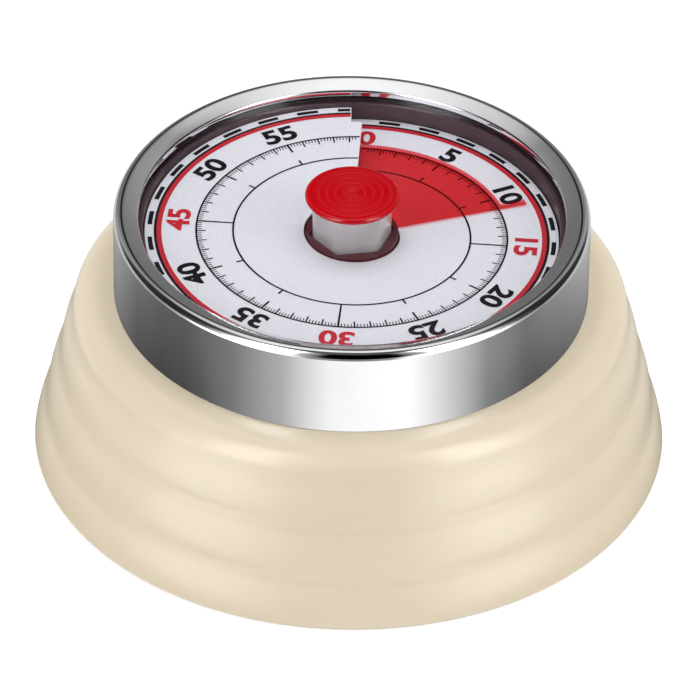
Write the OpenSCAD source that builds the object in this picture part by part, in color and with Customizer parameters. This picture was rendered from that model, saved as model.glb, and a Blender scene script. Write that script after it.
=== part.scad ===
// Mechanical kitchen timer with a wound movement, a slit spiral dial and a red time disc.
// The origin is the middle of the rim it stands on, +Z is up and +Y points at the dial's zero.

/* [Shell] */
// Diameter of the rim the timer stands on
foot_d = 70.3; // [64:0.5:78]
// Height of the shoulder that the bezel stands on
shell_h = 20.2; // [18.2:0.1:23]
// How far the side leans in for each mm of height
wall_lean = 0.26; // [0.2:0.005:0.3]
// Bulge of each band between two grooves
band_bulge = 0.15; // [0:0.05:0.6]
// Wall thickness of the shell
shell_t = 1.8; // [1.2:0.1:2.4]

/* [Bezel and lens] */
// Outer diameter of the bezel
bezel_d = 52.4; // [50:0.1:56]
// Height of the bezel above the shoulder
bezel_h = 10; // [9.2:0.1:12]
// Sheet thickness of the bezel
bezel_t = 0.7; // [0.5:0.05:0.8]
// Width of the lip over the lens
lip_w = 3; // [2:0.1:3.6]
// Thickness of the lens
lens_t = 0.6; // [0.4:0.05:1]

/* [Dial and time disc] */
// Rise of the spiral dial over one turn
dial_rise = 1.6; // [1.3:0.05:2]
// Thickness of the dial sheet
dial_t = 0.3; // [0.2:0.05:0.4]
// Radius of the hole in the middle of the dial
dial_hole_r = 5.3; // [5.25:0.05:5.6]
// Radius where the dial's upper end is cut back
dial_cut_r = 20; // [18.5:0.1:21]
// Thickness of the red disc
film_t = 0.15; // [0.1:0.01:0.2]
// Radius of the red disc
film_r = 17.5; // [15:0.1:19.5]
// Radius that the pointer strip reaches
pointer_r = 20.3; // [18:0.1:21]
// Minutes on the dial at rest
rest_min = 11.2; // [0:0.4:60]

/* [Knob] */
// Diameter of the red cap
cap_d = 10.4; // [9.6:0.1:14]
// Thickness of the cap at its edge
cap_t = 0.8; // [0.6:0.05:1.2]
// Height of the cap's top above the bezel
cap_rise = 3; // [2:0.1:5]
// Corner radius of the clear six-sided stem
stem_r = 4.65; // [4.4:0.01:4.7]

/* [Movement] */
// Radius of the lower plate
plate_r = 22.6; // [21.5:0.1:25]
// Thickness of both plates
plate_t = 0.8; // [0.7:0.05:0.9]
// Space between the plates
plate_gap = 8.7; // [8:0.05:9.6]
// Tooth module of the first pair
module_1 = 0.35; // [0.34:0.005:0.36]
// Tooth module of the second pair
module_2 = 0.25; // [0.24:0.005:0.26]
// Tooth module of the third pair
module_3 = 0.22; // [0.21:0.005:0.225]
// Tip radius of the escape wheel
escape_r = 3.4; // [3.2:0.1:3.6]
// Diameter of the bell
bell_d = 40; // [36:0.5:44]

/* [Clearances] */
// Radial running clearance of a shaft in its hole
run_gap = 0.05; // [0.03:0.01:0.08]
// Side gap between meshing teeth
tooth_gap = 0.09; // [0.07:0.01:0.11]
// Loose fit of pieces that drop into each other
fit_gap = 0.1; // [0.06:0.01:0.15]
// Height of the red disc above the dial
film_gap = 0.15; // [0.12:0.01:0.18]
// Radial play of the upper plate in the neck
plate_play = 1.2; // [0.8:0.1:2]
// Space between the bell's rim and the lower plate
rim_gap = 1.6; // [1.2:0.1:2]

/* [Hidden] */
$fn = 96;
eps = 0.02;
foot_r = foot_d / 2;
rim_z = 0.4;
groove_z = [rim_z, 5.2, 11.2, shell_h - 3.6];
bezel_r = bezel_d / 2;
bezel_in = bezel_r - bezel_t;
neck_r = bezel_in - fit_gap;
neck_in = neck_r - 1.6;
top_z = shell_h + bezel_h;
lip_z = top_z - bezel_t;
lens_z = lip_z - lens_t;
dial_z = lens_z - dial_rise - 0.5;
cup_r = neck_in - fit_gap;
cup_in = cup_r - 0.75;
dial_r = cup_in - 0.2;
ramp_in = dial_r - 1.35;
rest_deg = rest_min * 6;
film_span = 352;
dial_a0 = -5;
dial_a1 = 358.2;
dial_cut_a = 354.8;
film_z = dial_z + film_gap;
stem_z = lens_z - 4.3;
stem_turn = 14;
cap_top = top_z + cap_rise;
stem_top = cap_top - cap_t - 0.1;
collar_r = dial_hole_r - 0.2;
collar_top = dial_top(rest_deg) + film_gap + film_t + 0.5;
collar_h = dial_rise * film_span / 360 + film_t + 0.3;
cup_z = lens_z - 5.5;
cup_t = 0.8;
up_z = shell_h - 1.7;
lo_z = up_z - plate_gap - plate_t;
inner_z = lo_z + plate_t;
arbor_r = 1.5;
pivot_r = 0.5;
shaft_r = 0.8;
n_main = 60;
n_p1 = 10;
n_second = 64;
n_p2 = 8;
n_third = 60;
n_p3 = 8;
n_escape = 15;
press_deg = 25;
dist_1 = module_1 * (n_main + n_p1) / 2;
dist_2 = module_2 * (n_second + n_p2) / 2;
dist_3 = module_3 * (n_third + n_p3) / 2;
pin_r = 0.18;
pin_free = 0.14;
pin_at = escape_r + pin_r + pin_free;
pin_deg = 1.75 * 360 / n_escape;
dist_4 = pin_at / cos(pin_deg);
dir_1 = -20;
dir_2 = 245;
dir_3 = 190;
dir_4 = 178;
p_second = dist_1 * [cos(dir_1), sin(dir_1)];
p_third = p_second + dist_2 * [cos(dir_2), sin(dir_2)];
p_escape = p_third + dist_3 * [cos(dir_3), sin(dir_3)];
p_pallet = p_escape + dist_4 * [cos(dir_4), sin(dir_4)];
upper_r = neck_in - plate_play;
pillar_at = min(plate_r, upper_r) - 2;
pillar_deg = [30, 150, 232];
lug_at = upper_r - 1.8;
lug_deg = [75, 195, 315];
boss_deg = [30, 150, 270];
z_second = inner_z + 2.6;
z_third = inner_z + 3.7;
z_spring = inner_z + plate_gap - 3.3;
z_escape = inner_z + plate_gap - 2.9;
z_pallet = inner_z + plate_gap - 2.1;
z_balance = inner_z + plate_gap - 1.3;
spring_out = 8.6;
strip_t = 0.22;
post_r = 1.6;
cam_r = 5.2;
cam_z = lo_z - 1.3;
bell_r = bell_d / 2;
cover_z = 1;
cover_t = 1.6;
cover_r = shell_inner(cover_z) - 0.6;
bell_z = cover_z + cover_t + 0.6;
bell_t = 0.8;
bell_h = lo_z - rim_gap - bell_z;
boss_at = shell_inner(9) - 3;
ham_head = bell_r - bell_t - 1.6;
ham_pivot = [-ham_head + 2.6, -9];
ham_drop = cam_z - bell_z - bell_t - 1.3;
ham_tail = 6.3;
ham_tail_deg = atan2(ham_pivot[1], ham_pivot[0]) + acos(ham_tail / norm(ham_pivot));

// Outer radius of the leaning side at height z, without the bulges.
function shell_outer(z) = foot_r - wall_lean * (z - rim_z);

// Inner radius of the side at height z.
function shell_inner(z) = shell_outer(z) - shell_t - 0.1;

// A point on the spiral: clockwise angle from zero, radius and height.
function on_spiral(a, r, z) = [r * sin(a), r * cos(a), z];

// Height of the dial's upper face at a clockwise angle.
function dial_top(a) = dial_z + dial_rise * a / 360;

// Involute of an angle, in radians.
function involute(a) = tan(a) - a * PI / 180;

// Half the angle of a tooth at radius r.
function tooth_half(r, rp, rb, half) =
    half + (involute(acos(rb / rp)) - involute(acos(min(1, rb / r)))) * 180 / PI;

// Outline of a gear, with a tooth pointing along +X.
function gear_outline(n, m, add) =
    let (rp = n * m / 2, rb = rp * cos(press_deg), rf = rp - 1.15 * m, ra = rp + add * m)
    let (half = 90 / n - tooth_gap / 4 / rp * 180 / PI)
    let (rs = rb > rf ? [rf, rb, (rb + ra) / 2, ra] : [rf, (rf + ra) / 2, ra])
    let (last = len(rs) - 1)
    [for (k = [0 : n - 1]) for (s = [-1, 1]) for (i = [0 : last])
        let (r = rs[s < 0 ? i : last - i], a = k * 360 / n + s * tooth_half(max(r, rb), rp, rb, half))
        [r * cos(a), r * sin(a)]];

// Outline of the escape wheel: slim pointed teeth, one along +X.
function escape_outline() =
    let (tooth = [[-8, 0.68], [-3.4, 0.78], [-0.7, 1], [0.7, 1], [3.4, 0.78], [8, 0.68]])
    [for (k = [0 : n_escape - 1]) for (p = tooth)
        let (a = k * 360 / n_escape + p[0], r = escape_r * p[1]) [r * cos(a), r * sin(a)]];

// A thin spiral sheet over sections of [clockwise angle, inner radius, outer radius, underside, top].
module spiral_sheet(secs) {
    n = len(secs);
    pts = [for (s = secs) each [on_spiral(s[0], s[1], s[3]), on_spiral(s[0], s[2], s[3]),
        on_spiral(s[0], s[2], s[4]), on_spiral(s[0], s[1], s[4])]];
    sides = [for (i = [0 : n - 2]) for (k = [0 : 3])
        let (a = 4 * i + k, b = 4 * i + (k + 1) % 4)
        each [[a, a + 4, b + 4], [a, b + 4, b]]];
    ends = [[0, 1, 2], [0, 2, 3], [4 * n - 4, 4 * n - 2, 4 * n - 3], [4 * n - 4, 4 * n - 1, 4 * n - 2]];
    polyhedron(points = pts, faces = concat(sides, ends), convexity = 8);
}

// Places its child at each angle on a circle.
module around(angles, r) {
    for (a = angles) {
        rotate(a) translate([r, 0, 0]) children();
    }
}

// A toothed wheel lying in the plane z to z + t.
module wheel(n, m, z, t, bore, turn) {
    translate([0, 0, z]) rotate(turn) difference() {
        linear_extrude(t) polygon(gear_outline(n, m, 0.7));
        translate([0, 0, -1]) cylinder(r = bore, h = t + 2);
        for (k = [0 : 3]) {
            rotate(k * 90 + 45) translate([n * m * 0.29, 0, -1]) cylinder(r = n * m * 0.12, h = t + 2);
        }
    }
}

// A shaft with a thin pivot in each plate and a pinion cut on it.
module pinion_arbor(n, m, z, h, turn) {
    translate([0, 0, lo_z]) cylinder(r = pivot_r, h = plate_gap + 2 * plate_t);
    difference() {
        translate([0, 0, inner_z + fit_gap]) cylinder(r = shaft_r, h = plate_gap - 2 * fit_gap);
        translate([0, 0, z]) cylinder(r = 2 * shaft_r, h = h);
    }
    translate([0, 0, z]) rotate(turn) linear_extrude(h) polygon(gear_outline(n, m, 0.85));
}

// A slotted screw from z up by len, with its head below.
module screw(z, len, r, head_r, head_h) {
    difference() {
        union() {
            translate([0, 0, z - head_h]) cylinder(r = head_r, h = head_h);
            translate([0, 0, z]) cylinder(r = r, h = len);
        }
        translate([-head_r, -0.25, z - head_h - 1]) cube([2 * head_r, 0.5, 1 + head_h / 2]);
    }
}

// The cream housing: three bulged bands, a round shoulder and the neck inside the bezel.
module base_shell() {
    steps = 8;
    bands = [for (b = [0 : 2]) for (i = [0 : steps - 1])
        let (z = groove_z[b] + (groove_z[b + 1] - groove_z[b]) * i / steps)
        [shell_outer(z) + band_bulge * sin(180 * i / steps), z]];
    shoulder_r = shell_outer(groove_z[3]);
    shoulder_in = bezel_r + 1;
    shoulder = [for (i = [0 : 10])
        [shoulder_in + (shoulder_r - shoulder_in) * cos(9 * i),
            groove_z[3] + (shell_h - groove_z[3]) * sin(9 * i)]];
    deck = shell_h - shell_t;
    inside = [[neck_r, shell_h], [neck_r, lens_z], [neck_in, lens_z], [neck_in, deck],
        [shoulder_in, deck], [shell_inner(groove_z[3] - 1), groove_z[3] - 1],
        [shell_inner(cover_z + cover_t), cover_z + cover_t], [shell_inner(0), 0]];
    color([0.87, 0.81, 0.7]) {
        difference() {
            union() {
                rotate_extrude() polygon(concat([[foot_r - rim_z / 2, 0]], bands, shoulder, inside));
                around(lug_deg, lug_at) {
                    translate([0, 0, up_z + plate_t]) cylinder(r = 2, h = cup_z - up_z - plate_t);
                    translate([0, -1, up_z + plate_t])
                        cube([neck_in - lug_at + 0.5, 2, cup_z - up_z - plate_t]);
                }
                around(boss_deg, boss_at) {
                    translate([0, 0, cover_z + cover_t]) cylinder(r = 2.4, h = 6.4);
                    translate([0, -1, cover_z + cover_t])
                        cube([shell_inner(cover_z + cover_t + 6.4) - boss_at + 0.5, 2, 6.4]);
                }
            }
            around(lug_deg, lug_at) translate([0, 0, up_z]) cylinder(r = 0.8, h = 3.6);
            around(boss_deg, boss_at) cylinder(r = 1.05, h = cover_z + cover_t + 5.4);
        }
    }
}

// The polished steel drum: a thin wall, a tight outer edge and a broad lip that falls to its inner bead.
module bezel() {
    roll = 0.4 * bezel_t;
    lip_in = bezel_r - lip_w;
    bead_r = 0.2;
    edge = [for (i = [0 : 8]) let (a = 11.25 * i)
        [bezel_r - roll + roll * cos(a), top_z - roll + roll * sin(a)]];
    bead = [for (i = [0 : 6]) let (a = 90 + 30 * i)
        [lip_in + bead_r + bead_r * cos(a), lip_z + bead_r + bead_r * sin(a)]];
    color([0.82, 0.83, 0.85])
        rotate_extrude()
            polygon(concat([[bezel_in, shell_h], [bezel_r, shell_h]], edge, bead, [[bezel_in, lip_z]]));
}

// The clear cover over the dial, with a hole for the knob.
module lens() {
    color([0.9, 0.93, 0.95, 0.3])
        translate([0, 0, lens_z])
            difference() {
                cylinder(r = neck_r, h = lens_t);
                translate([0, 0, -1]) cylinder(r = dial_hole_r + 0.15, h = lens_t + 2);
            }
}

// The dark cup that the dial lies in.
module dial_cup() {
    color([0.24, 0.15, 0.18])
        difference() {
            translate([0, 0, cup_z]) cylinder(r = cup_r, h = lens_z - cup_z - fit_gap);
            translate([0, 0, cup_z + cup_t]) cylinder(r = cup_in, h = lens_z);
            translate([0, 0, cup_z - 1]) cylinder(r = stem_r + 0.5, h = cup_t + 2);
        }
}

// The spiral step in the cup that carries the dial's rim.
module dial_ramp() {
    color([0.28, 0.18, 0.2])
        spiral_sheet([for (i = [0 : 90]) let (a = dial_a0 + 359 * i / 90)
            [a, ramp_in, dial_r + fit_gap, cup_z + cup_t, dial_top(a) - dial_t - eps]]);
}

// The white dial: one turn of a spiral, slit at zero so that the disc can pass through.
module dial() {
    color([0.93, 0.93, 0.95])
        spiral_sheet(concat(
            [for (i = [0 : 90]) let (a = dial_a0 + (dial_cut_a - dial_a0) * i / 90)
                [a, dial_hole_r, dial_r, dial_top(a) - dial_t, dial_top(a)]],
            [for (a = [dial_cut_a + 0.1, dial_a1])
                [a, dial_hole_r, dial_cut_r, dial_top(a) - dial_t, dial_top(a)]]));
}

// The hub of the time disc, which slides on the six-sided stem.
module disc_collar() {
    color([0.45, 0.08, 0.1])
        difference() {
            translate([0, 0, collar_top - collar_h]) cylinder(r = collar_r, h = collar_h);
            translate([0, 0, collar_top - collar_h - 1])
                rotate(stem_turn) cylinder(r = stem_r + fit_gap, h = collar_h + 2, $fn = 6);
        }
}

// The red disc: a spiral of the dial's own pitch, with the pointer strip at its leading edge.
module red_disc() {
    plain = [for (i = [0 : 90]) rest_deg - film_span + (film_span - 2.6) * i / 90];
    strip = [rest_deg - 2.4, rest_deg - 0.3, rest_deg];
    color([0.78, 0.1, 0.12])
        spiral_sheet(concat(
            [for (a = plain) let (z = dial_top(a) + film_gap)
                [a, collar_r + eps, film_r, z, z + film_t]],
            [for (a = strip) let (z = dial_top(a) + film_gap, r = a < rest_deg ? pointer_r : pointer_r - 0.4)
                [a, collar_r + eps, r, z, z + film_t]]));
}

// The red cap, with raised rings and a small dimple.
module knob_cap() {
    r = cap_d / 2;
    round_r = 0.35;
    low = cap_top - cap_t;
    edge = [for (i = [0 : 6]) let (a = 30 * i - 90)
        [r - round_r + round_r * cos(a), low + round_r + round_r * sin(a)]];
    color([0.8, 0.03, 0.07]) {
        difference() {
            rotate_extrude()
                polygon(concat([[0, low - 1], [2, low - 1], [2, low]], edge,
                    [[0.9 * r, cap_top - 0.02], [0.5 * r, cap_top], [0, cap_top]]));
            translate([0, 0, cap_top - 0.15]) cylinder(r1 = 0.1, r2 = 0.5, h = 0.2);
            for (q = [0.32, 0.52, 0.72]) {
                translate([0, 0, cap_top - 0.12]) difference() {
                    cylinder(r = q * r + 0.18, h = 1);
                    translate([0, 0, -1]) cylinder(r = q * r, h = 3);
                }
            }
        }
    }
}

// The clear six-sided stem between the cap and the arbor.
module knob_stem() {
    color([0.8, 0.8, 0.82, 0.4])
        difference() {
            translate([0, 0, stem_z]) rotate(stem_turn) cylinder(r = stem_r, h = stem_top - stem_z, $fn = 6);
            translate([0, 0, stem_z - 1]) cylinder(r = arbor_r + 0.01, h = stem_top - stem_z - 1.2);
            translate([0, 0, cap_top - cap_t - 1.1]) cylinder(r = 2.05, h = 3);
        }
}

// The main shaft, from the cam below the lower plate up into the stem.
module main_arbor() {
    color([0.7, 0.71, 0.73])
        translate([0, 0, cam_z - 0.3]) cylinder(r = arbor_r, h = stem_top - 2.3 - cam_z);
}

// The first wheel of the train.
module main_wheel() {
    color([0.8, 0.65, 0.3]) wheel(n_main, module_1, inner_z + 0.8, 0.8, arbor_r + 0.01, dir_1);
}

// The star washer that lets the knob slip on the train while it is being wound.
module clutch_spring() {
    color([0.6, 0.6, 0.62])
        translate([0, 0, inner_z + 1.6])
            linear_extrude(0.3)
                difference() {
                    union() {
                        circle(r = 2.4);
                        for (k = [0 : 2]) {
                            rotate(120 * k) translate([0, -0.6]) square([3.6, 1.2]);
                        }
                    }
                    circle(r = arbor_r + 0.01);
                }
}

// The collar that backs the star washer.
module arbor_collar() {
    color([0.75, 0.6, 0.3])
        translate([0, 0, inner_z + 1.9])
            difference() {
                cylinder(r = 2.4, h = 0.5);
                translate([0, 0, -1]) cylinder(r = arbor_r + 0.01, h = 3);
            }
}

// The cam whose notch lets the hammer fall at zero.
module strike_cam() {
    color([0.75, 0.6, 0.3])
        translate([0, 0, cam_z])
            difference() {
                cylinder(r = cam_r, h = 0.8);
                translate([0, 0, -1]) cylinder(r = arbor_r + 0.01, h = 3);
                rotate(ham_tail_deg - rest_deg) translate([cam_r - 1.4, -1, -1]) cube([3, 2, 3]);
            }
}

// The second shaft with its pinion.
module second_arbor() {
    color([0.7, 0.71, 0.73])
        translate(p_second) pinion_arbor(n_p1, module_1, inner_z + 0.5, 1.4, dir_1 + 180 + 180 / n_p1);
}

// The second wheel.
module second_wheel() {
    color([0.8, 0.65, 0.3])
        translate(p_second) wheel(n_second, module_2, z_second, 0.6, shaft_r + 0.01, dir_2);
}

// The third shaft with its pinion.
module third_arbor() {
    color([0.7, 0.71, 0.73])
        translate(p_third) pinion_arbor(n_p2, module_2, z_second - 0.3, 1.2, dir_2 + 180 + 180 / n_p2);
}

// The third wheel.
module third_wheel() {
    color([0.8, 0.65, 0.3])
        translate(p_third) wheel(n_third, module_3, z_third, 0.5, shaft_r + 0.01, dir_3);
}

// The escape shaft with its pinion.
module escape_arbor() {
    color([0.7, 0.71, 0.73])
        translate(p_escape) pinion_arbor(n_p3, module_3, z_third - 0.3, 1.1, dir_3 + 180 + 180 / n_p3);
}

// The escape wheel, turned so that each pallet pin stands a quarter pitch from a tooth.
module escape_wheel() {
    color([0.8, 0.65, 0.3])
        translate([p_escape[0], p_escape[1], z_escape])
            rotate(dir_4 + pin_deg + 90 / n_escape)
                difference() {
                    linear_extrude(0.6) polygon(escape_outline());
                    translate([0, 0, -1]) cylinder(r = shaft_r + 0.01, h = 3);
                }
}

// The shaft of the pallet and the balance.
module pallet_arbor() {
    color([0.7, 0.71, 0.73])
        translate(p_pallet) {
            translate([0, 0, lo_z]) cylinder(r = pivot_r, h = plate_gap + 2 * plate_t);
            translate([0, 0, inner_z + fit_gap]) cylinder(r = 0.6, h = plate_gap - 2 * fit_gap);
        }
}

// The pallet: two arms above the escape wheel, each with a pin that dips between its teeth.
module pallet() {
    reach = pin_at * tan(pin_deg);
    color([0.72, 0.73, 0.75])
        translate([p_pallet[0], p_pallet[1], z_pallet]) rotate(dir_4 + 180) {
            difference() {
                cylinder(r = 1.3, h = 0.5);
                translate([0, 0, -1]) cylinder(r = 0.61, h = 3);
            }
            for (s = [-1, 1]) {
                rotate(s * (90 - pin_deg)) {
                    translate([1, -0.35, 0]) cube([reach - 1 + 0.35, 0.7, 0.5]);
                    translate([reach, 0, -0.9]) cylinder(r = pin_r, h = 1);
                }
            }
        }
}

// The balance: a bar with a weight at each end.
module balance_bar() {
    color([0.8, 0.65, 0.3])
        translate([p_pallet[0], p_pallet[1], z_balance]) rotate(30)
            difference() {
                union() {
                    translate([-4, -0.5, 0]) cube([8, 1, 0.6]);
                    translate([-4, 0, 0]) cylinder(r = 1, h = 0.6);
                    translate([4, 0, 0]) cylinder(r = 1, h = 0.6);
                    cylinder(r = 1.2, h = 0.6);
                }
                translate([0, 0, -1]) cylinder(r = 0.61, h = 3);
            }
}

// The wound strip that drives the train, hooked to its post.
module mainspring() {
    turns = 5;
    n = 24 * turns;
    r0 = arbor_r + 0.35;
    r1 = spring_out;
    coil = [for (i = [0 : n]) [100 - 360 * turns * (1 - i / n), r0 + (r1 - r0) * i / n]];
    inner = [for (c = coil) c[1] * [cos(c[0]), sin(c[0])]];
    outer = [for (i = [n : -1 : 0]) (coil[i][1] + strip_t) * [cos(coil[i][0]), sin(coil[i][0])]];
    color([0.4, 0.42, 0.48])
        translate([0, 0, z_spring]) linear_extrude(1.8) polygon(concat(inner, outer));
}

// The post that holds the outer end of the mainspring.
module spring_post() {
    color([0.7, 0.71, 0.73])
        rotate(100) translate([spring_out + strip_t + 0.72, 0, z_spring - 0.4])
            cylinder(r = 0.7, h = up_z - z_spring + 0.4);
}

// Pivot holes shared by both plates.
module plate_holes(z) {
    translate([0, 0, z - 1]) cylinder(r = arbor_r + run_gap, h = plate_t + 2);
    for (p = [p_second, p_third, p_escape, p_pallet]) {
        translate([p[0], p[1], z - 1]) cylinder(r = pivot_r + run_gap, h = plate_t + 2);
    }
    around(pillar_deg, pillar_at) translate([0, 0, z - 1]) cylinder(r = 0.85, h = plate_t + 2);
}

// The upper plate of the movement.
module upper_plate() {
    color([0.8, 0.68, 0.4])
        difference() {
            translate([0, 0, up_z]) cylinder(r = upper_r, h = plate_t);
            plate_holes(up_z);
            around(lug_deg, lug_at) translate([0, 0, up_z - 1]) cylinder(r = 1.05, h = plate_t + 2);
        }
}

// The lower plate of the movement.
module lower_plate() {
    color([0.8, 0.68, 0.4])
        difference() {
            translate([0, 0, lo_z]) cylinder(r = plate_r, h = plate_t);
            plate_holes(lo_z);
            translate([ham_pivot[0], ham_pivot[1], lo_z - 1]) cylinder(r = 0.5, h = plate_t + 2);
            around(lug_deg, lug_at) translate([0, 0, lo_z - 1]) cylinder(r = 2.2, h = plate_t + 2);
        }
}

// Three posts that hold the plates apart.
module pillars() {
    color([0.7, 0.71, 0.73])
        around(pillar_deg, pillar_at)
            difference() {
                translate([0, 0, inner_z]) cylinder(r = post_r, h = plate_gap);
                translate([0, 0, inner_z - 1]) cylinder(r = 0.8, h = 4);
            }
}

// Screws through the lower plate into the posts.
module pillar_screws() {
    color([0.6, 0.6, 0.63])
        around(pillar_deg, pillar_at) screw(lo_z, plate_t + 2.6, 0.75, 1.5, 0.8);
}

// Screws through the upper plate into the shell.
module movement_screws() {
    color([0.6, 0.6, 0.63])
        around(lug_deg, lug_at) screw(up_z, plate_t + 2.4, 0.75, 1.5, 0.8);
}

// The bell: a shallow steel cup on the cover's boss.
module bell() {
    color([0.75, 0.76, 0.78])
        translate([0, 0, bell_z])
            difference() {
                rotate_extrude()
                    polygon([[0, 0], [bell_r - 1.2, 0], [bell_r - 0.4, 0.4], [bell_r, 1.2], [bell_r, bell_h],
                        [bell_r - bell_t, bell_h], [bell_r - bell_t, 1.4], [bell_r - 1.4, bell_t],
                        [0, bell_t]]);
                translate([0, 0, -1]) cylinder(r = 1.05, h = 4);
                around([0, 120, 240], 9) translate([0, 0, -1]) cylinder(r = 1.5, h = 4);
            }
}

// The screw in the middle of the bell.
module bell_screw() {
    color([0.6, 0.6, 0.63])
        translate([0, 0, bell_z + bell_t]) mirror([0, 0, 1]) screw(0, bell_t + 1.6, 0.95, 2, 0.8);
}

// The hammer: a boss, an arm with its head inside the bell and a tail beside the cam.
module hammer() {
    head = [-ham_head, 0] - ham_pivot;
    tail = ham_tail * [cos(ham_tail_deg), sin(ham_tail_deg)] - ham_pivot;
    color([0.65, 0.66, 0.7])
        translate([ham_pivot[0], ham_pivot[1], cam_z]) difference() {
            union() {
                cylinder(r = 1.7, h = 0.8);
                rotate(atan2(head[1], head[0])) translate([0, -0.6, 0]) cube([norm(head), 1.2, 0.8]);
                rotate(atan2(tail[1], tail[0])) translate([0, -0.6, 0]) cube([norm(tail) + 1, 1.2, 0.8]);
                translate([head[0], head[1], -ham_drop]) cylinder(r = 0.9, h = ham_drop + 0.8);
            }
            translate([0, 0, -1]) cylinder(r = 0.8 + run_gap, h = 3);
        }
}

// The stud under the lower plate that the hammer turns on.
module hammer_stud() {
    color([0.7, 0.71, 0.73])
        translate(ham_pivot) {
            translate([0, 0, cam_z - 0.9]) cylinder(r = 1.4, h = 0.8);
            translate([0, 0, cam_z - 0.1]) cylinder(r = 0.8, h = lo_z - cam_z + 0.1);
            translate([0, 0, lo_z]) cylinder(r = 0.49, h = plate_t);
        }
}

// The leaf that presses the tail of the hammer towards the cam.
module hammer_spring() {
    color([0.4, 0.42, 0.48])
        rotate(ham_tail_deg) translate([ham_tail + 0.66, 0, cam_z + 0.1])
            linear_extrude(0.6) polygon([[0, -5], [0.2, -5], [0.9, 5], [0.7, 5]]);
}

// The stud that holds the leaf.
module spring_stud() {
    color([0.7, 0.71, 0.73])
        rotate(ham_tail_deg) translate([ham_tail + 0.66 + 1.45, 4.8, cam_z])
            cylinder(r = 0.6, h = lo_z - cam_z);
}

// The cover of the underside, with sound slots and the boss of the bell.
module back_cover() {
    color([0.2, 0.2, 0.21])
        difference() {
            union() {
                translate([0, 0, cover_z]) cylinder(r = cover_r, h = cover_t);
                translate([0, 0, cover_z + cover_t - 0.1])
                    cylinder(r = 3.2, h = bell_z - cover_z - cover_t + 0.1);
            }
            translate([0, 0, bell_z - 1.8]) cylinder(r = 1, h = 3);
            around([for (k = [0 : 11]) 30 * k + 15], 9)
                translate([0, -0.8, cover_z - 1]) cube([8, 1.6, cover_t + 2]);
            around(boss_deg, boss_at) {
                translate([0, 0, cover_z - 1]) cylinder(r = 1.2, h = cover_t + 2);
                translate([0, 0, cover_z - 1]) cylinder(r = 2.3, h = 1.9);
            }
        }
}

// Screws that hold the cover to the shell.
module cover_screws() {
    color([0.6, 0.6, 0.63])
        around(boss_deg, boss_at) screw(cover_z + 0.9, 5.6, 1, 2, 0.75);
}

base_shell();
bezel();
lens();
dial_cup();
dial_ramp();
dial();
disc_collar();
red_disc();
knob_cap();
knob_stem();
main_arbor();
main_wheel();
clutch_spring();
arbor_collar();
strike_cam();
second_arbor();
second_wheel();
third_arbor();
third_wheel();
escape_arbor();
escape_wheel();
pallet_arbor();
pallet();
balance_bar();
mainspring();
spring_post();
upper_plate();
lower_plate();
pillars();
pillar_screws();
movement_screws();
bell();
bell_screw();
hammer();
hammer_stud();
hammer_spring();
spring_stud();
back_cover();
cover_screws();
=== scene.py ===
"""Looks of a wind-up kitchen timer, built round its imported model.

Sizes are in millimetres and angles in degrees, unless a line says otherwise.
"""

import logging
import math
from dataclasses import dataclass, field
from enum import Enum

import bmesh
import bpy
from mathutils import Matrix, Vector


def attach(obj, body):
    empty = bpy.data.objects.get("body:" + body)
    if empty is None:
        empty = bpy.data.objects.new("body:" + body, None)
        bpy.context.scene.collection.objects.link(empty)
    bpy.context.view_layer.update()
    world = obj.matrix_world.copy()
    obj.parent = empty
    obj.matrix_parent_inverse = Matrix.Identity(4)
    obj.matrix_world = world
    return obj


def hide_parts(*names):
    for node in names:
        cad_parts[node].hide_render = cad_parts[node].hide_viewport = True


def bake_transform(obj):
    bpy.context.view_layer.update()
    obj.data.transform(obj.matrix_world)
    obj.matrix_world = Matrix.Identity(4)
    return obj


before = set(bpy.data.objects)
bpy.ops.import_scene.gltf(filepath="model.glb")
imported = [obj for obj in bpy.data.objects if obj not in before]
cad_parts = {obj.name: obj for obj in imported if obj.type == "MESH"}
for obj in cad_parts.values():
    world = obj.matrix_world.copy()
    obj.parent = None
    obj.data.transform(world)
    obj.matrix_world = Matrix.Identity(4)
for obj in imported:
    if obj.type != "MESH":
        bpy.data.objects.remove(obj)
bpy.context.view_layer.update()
MM = 0.001
MINUTE = 6  # Degrees of the dial for one minute.
LOG = logging.getLogger("timer")

BMesh = bmesh.types.BMesh
Material = bpy.types.Material
Socket = bpy.types.NodeSocket
Pair = tuple[float, float]
Point = tuple[float, float, float]
Rgba = tuple[float, float, float, float]
Greys = tuple[Pair, ...]


class Body(str, Enum):
    """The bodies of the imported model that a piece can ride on."""

    CASE = "case"
    KNOB = "knob"
    DISC = "disc"
    HAMMER = "hammer"


class Slot(str, Enum):
    """The material slots of the record, which nothing in this script gives to a piece."""

    CREAM = "cream"
    BEZEL = "bezel_steel"
    LENS = "lens_clear"
    CUP = "cup_dark"
    DIAL = "dial_white"
    FILM = "disc_red"
    COLLAR = "collar_red"
    CAP = "cap_red"
    STEM = "stem_clear"
    SPRING = "spring_steel"


def from_srgb(red: int, green: int, blue: int) -> Rgba:
    """Turns a colour as seen on a screen into the shader's linear values.

    Args:
        red: Red from 0 to 255.
        green: Green from 0 to 255.
        blue: Blue from 0 to 255.

    Returns:
        Linear red, green and blue, and an alpha of one.
    """
    parts = [c / 255 for c in (red, green, blue)]
    linear = [c / 12.92 if c <= 0.04045 else ((c + 0.055) / 1.055) ** 2.4 for c in parts]
    return (linear[0], linear[1], linear[2], 1.0)


def grey(level: float) -> Rgba:
    """A grey in the shader's linear values."""
    return (level, level, level, 1.0)


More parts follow.
